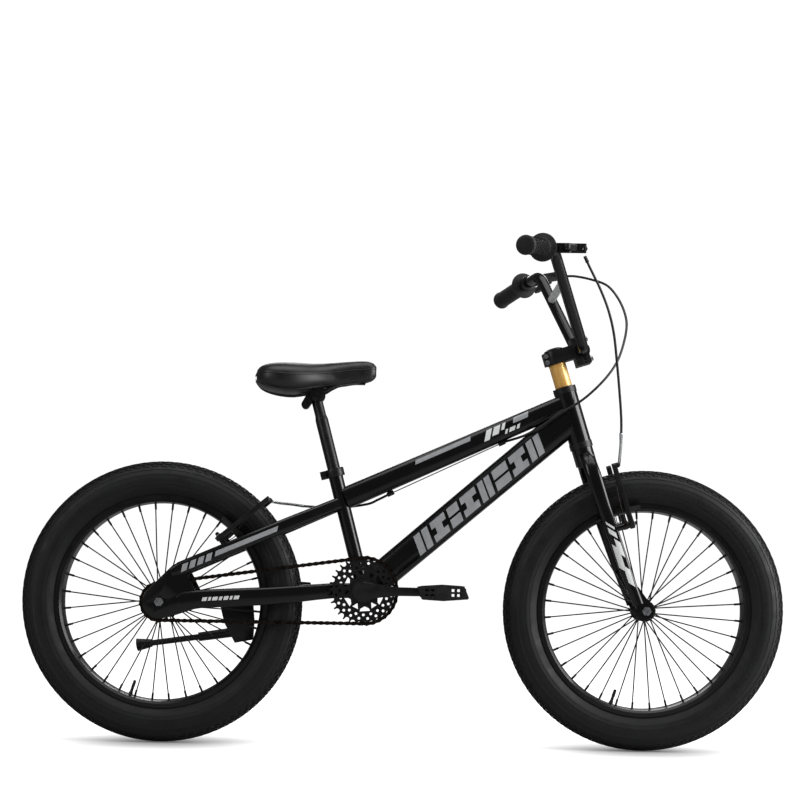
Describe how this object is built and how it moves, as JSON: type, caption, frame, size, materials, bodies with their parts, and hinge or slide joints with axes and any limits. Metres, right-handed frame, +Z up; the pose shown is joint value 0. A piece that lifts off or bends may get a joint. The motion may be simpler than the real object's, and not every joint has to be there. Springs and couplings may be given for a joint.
{
  "type": "bmx bike",
  "caption": "Small-wheel BMX bike with fat slick-sided tyres, upright crossbar handlebar, short padded saddle, rim brakes, platform pedals and a kickstand.",
  "frame": {"origin": "on the ground, midway between the two wheel axles, in the bike's middle plane", "axes": "+X forward from the rear wheel to the front wheel, +Y to the rider's left, +Z up; wheels stand on Z = 0"},
  "size_m": [1.504, 0.76, 0.9815],
  "materials": {
    "frame_paint": "gloss",
    "rim_paint": "gloss",
    "spoke_black": "satin",
    "tyre_rubber": "matt",
    "grip_rubber": "matt",
    "saddle_cover": "satin",
    "black_plastic": "satin",
    "cable_housing": "satin",
    "bright_steel": "bright",
    "chain_steel": "oiled",
    "gold_alloy": "anodised gold",
    "black_alloy": "satin"
  },
  "bodies": {
    "frame": {"head_tube": "frame_paint", "top_tube": "frame_paint", "down_tube": "frame_paint", "seat_tube": "frame_paint", "bottom_bracket_shell": "frame_paint", "seat_stays": "frame_paint", "chain_stays": "frame_paint", "dropouts": "frame_paint", "headset_cups": "black_alloy", "bottom_bracket_cups": "black_alloy", "rear_axle": "bright_steel", "seat_clamp": "black_alloy", "cable_stops": "frame_paint", "kickstand_bracket": "frame_paint", "chain": "chain_steel", "rear_brake_cable": "cable_housing", "rear_brake_loop": "cable_housing"},
    "seatpost": {"seatpost": "black_alloy"},
    "saddle": {"saddle_clamp": "black_alloy", "saddle_rails": "black_alloy", "saddle_shell": "black_plastic", "saddle_pad": "saddle_cover"},
    "steering": {"fork_steerer": "frame_paint", "fork_leg_left": "frame_paint", "fork_leg_right": "frame_paint", "front_axle": "bright_steel", "headset_spacer": "gold_alloy", "stem_body": "black_alloy", "stem_faceplate": "black_alloy", "stem_bolts": "bright_steel", "top_cap": "black_alloy", "handlebar": "frame_paint", "grip_left": "grip_rubber", "grip_right": "grip_rubber", "brake_perch_left": "black_alloy", "brake_perch_right": "black_alloy", "front_brake_cable": "cable_housing"},
    "brake_lever_left": {"brake_lever_left": "black_alloy"},
    "brake_lever_right": {"brake_lever_right": "black_alloy"},
    "front_brake_arm_left": {"front_brake_arm_left": "black_alloy"},
    "front_brake_arm_right": {"front_brake_arm_right": "black_alloy"},
    "rear_brake_arm_left": {"rear_brake_arm_left": "black_alloy"},
    "rear_brake_arm_right": {"rear_brake_arm_right": "black_alloy"},
    "front_wheel": {"front_tyre": "tyre_rubber", "front_rim": "rim_paint", "front_spokes": "spoke_black", "front_hub": "black_alloy"},
    "rear_wheel": {"rear_tyre": "tyre_rubber", "rear_rim": "rim_paint", "rear_spokes": "spoke_black", "rear_hub": "black_alloy"},
    "freewheel": {"freewheel": "chain_steel"},
    "crank": {"crank_spindle": "bright_steel", "crank_arm_left": "frame_paint", "crank_arm_right": "frame_paint", "chainring": "black_alloy", "pedal_axles": "bright_steel"},
    "pedal_left": {"pedal_left": "black_plastic"},
    "pedal_right": {"pedal_right": "black_plastic"},
    "kickstand": {"kickstand_leg": "frame_paint"}
  },
  "joints": [
    {"name": "steering", "type": "hinge", "parent": "frame", "child": "steering", "pos_m": [0.45116, 0, 0.26948], "axis": [-0.3007, 0, 0.9537], "range_deg": [-70, 70], "deforming": ["rear_brake_loop"]},
    {"name": "front_wheel_spin", "type": "hinge", "parent": "steering", "child": "front_wheel", "pos_m": [0.475, 0, 0.277], "axis": [0, 1, 0], "continuous": true},
    {"name": "rear_wheel_spin", "type": "hinge", "parent": "frame", "child": "rear_wheel", "pos_m": [-0.475, 0, 0.277], "axis": [0, 1, 0], "continuous": true},
    {"name": "crank_spin", "type": "hinge", "parent": "frame", "child": "crank", "pos_m": [-0.07701, 0, 0.306], "axis": [0, 1, 0], "continuous": true, "deforming": ["chain"]},
    {"name": "freewheel_spin", "type": "hinge", "parent": "frame", "child": "freewheel", "pos_m": [-0.475, 0, 0.277], "axis": [0, 1, 0], "continuous": true},
    {"name": "pedal_left_spin", "type": "hinge", "parent": "crank", "child": "pedal_left", "pos_m": [-0.22901, 0, 0.306], "axis": [0, 1, 0], "continuous": true},
    {"name": "pedal_right_spin", "type": "hinge", "parent": "crank", "child": "pedal_right", "pos_m": [0.07499, 0, 0.306], "axis": [0, 1, 0], "continuous": true},
    {"name": "brake_lever_left_pull", "type": "hinge", "parent": "steering", "child": "brake_lever_left", "pos_m": [0.29017, 0.24292, 0.96325], "axis": [-0.2457, 0.0456, 0.9683], "range_deg": [0, 15], "stiffness_Nm_per_rad": 0.6, "springref_deg": -8.59},
    {"name": "brake_lever_right_pull", "type": "hinge", "parent": "steering", "child": "brake_lever_right", "pos_m": [0.29152, -0.24195, 0.95242], "axis": [0, 0.1308, -0.9914], "range_deg": [0, 15], "stiffness_Nm_per_rad": 0.6, "springref_deg": -8.59},
    {"name": "front_brake_left_close", "type": "hinge", "parent": "steering", "child": "front_brake_arm_left", "pos_m": [0.44354, 0.054, 0.44661], "axis": [0.9537, 0, 0.3007], "range_deg": [0, 2.4], "stiffness_Nm_per_rad": 2, "springref_deg": -1.15},
    {"name": "front_brake_right_close", "type": "hinge", "parent": "steering", "child": "front_brake_arm_right", "pos_m": [0.44354, -0.054, 0.44661], "axis": [-0.9537, 0, -0.3007], "range_deg": [0, 2.4], "stiffness_Nm_per_rad": 2, "springref_deg": -1.15},
    {"name": "rear_brake_left_close", "type": "hinge", "parent": "frame", "child": "rear_brake_arm_left", "pos_m": [-0.3598, 0.054, 0.40539], "axis": [0.6401, 0, -0.7683], "range_deg": [0, 2.4], "stiffness_Nm_per_rad": 2, "springref_deg": -1.15},
    {"name": "rear_brake_right_close", "type": "hinge", "parent": "frame", "child": "rear_brake_arm_right", "pos_m": [-0.3598, -0.054, 0.40539], "axis": [-0.6401, 0, 0.7683], "range_deg": [0, 2.4], "stiffness_Nm_per_rad": 2, "springref_deg": -1.15},
    {"name": "kickstand_fold", "type": "hinge", "parent": "frame", "child": "kickstand", "pos_m": [-0.316, 0.08, 0.219], "axis": [0.0326, -0.9754, -0.2179], "range_deg": [0, 87]},
    {"name": "seatpost_slide", "type": "slide", "parent": "frame", "child": "seatpost", "axis": [-0.2588, 0, 0.9659], "range_m": [-0.055, 0.08]},
    {"name": "saddle_tilt", "type": "hinge", "parent": "seatpost", "child": "saddle", "pos_m": [-0.1759, 0, 0.6907], "axis": [0, 1, 0], "range_deg": [-10, 10]}
  ],
  "couplings": [
    {"joint": "freewheel_spin", "follows": "crank_spin", "ratio": 1.7778},
    {"joint": "front_brake_left_close", "follows": "brake_lever_right_pull", "ratio": 0.16},
    {"joint": "front_brake_right_close", "follows": "brake_lever_right_pull", "ratio": 0.16},
    {"joint": "rear_brake_left_close", "follows": "brake_lever_left_pull", "ratio": 0.16},
    {"joint": "rear_brake_right_close", "follows": "brake_lever_left_pull", "ratio": 0.16}
  ]
}
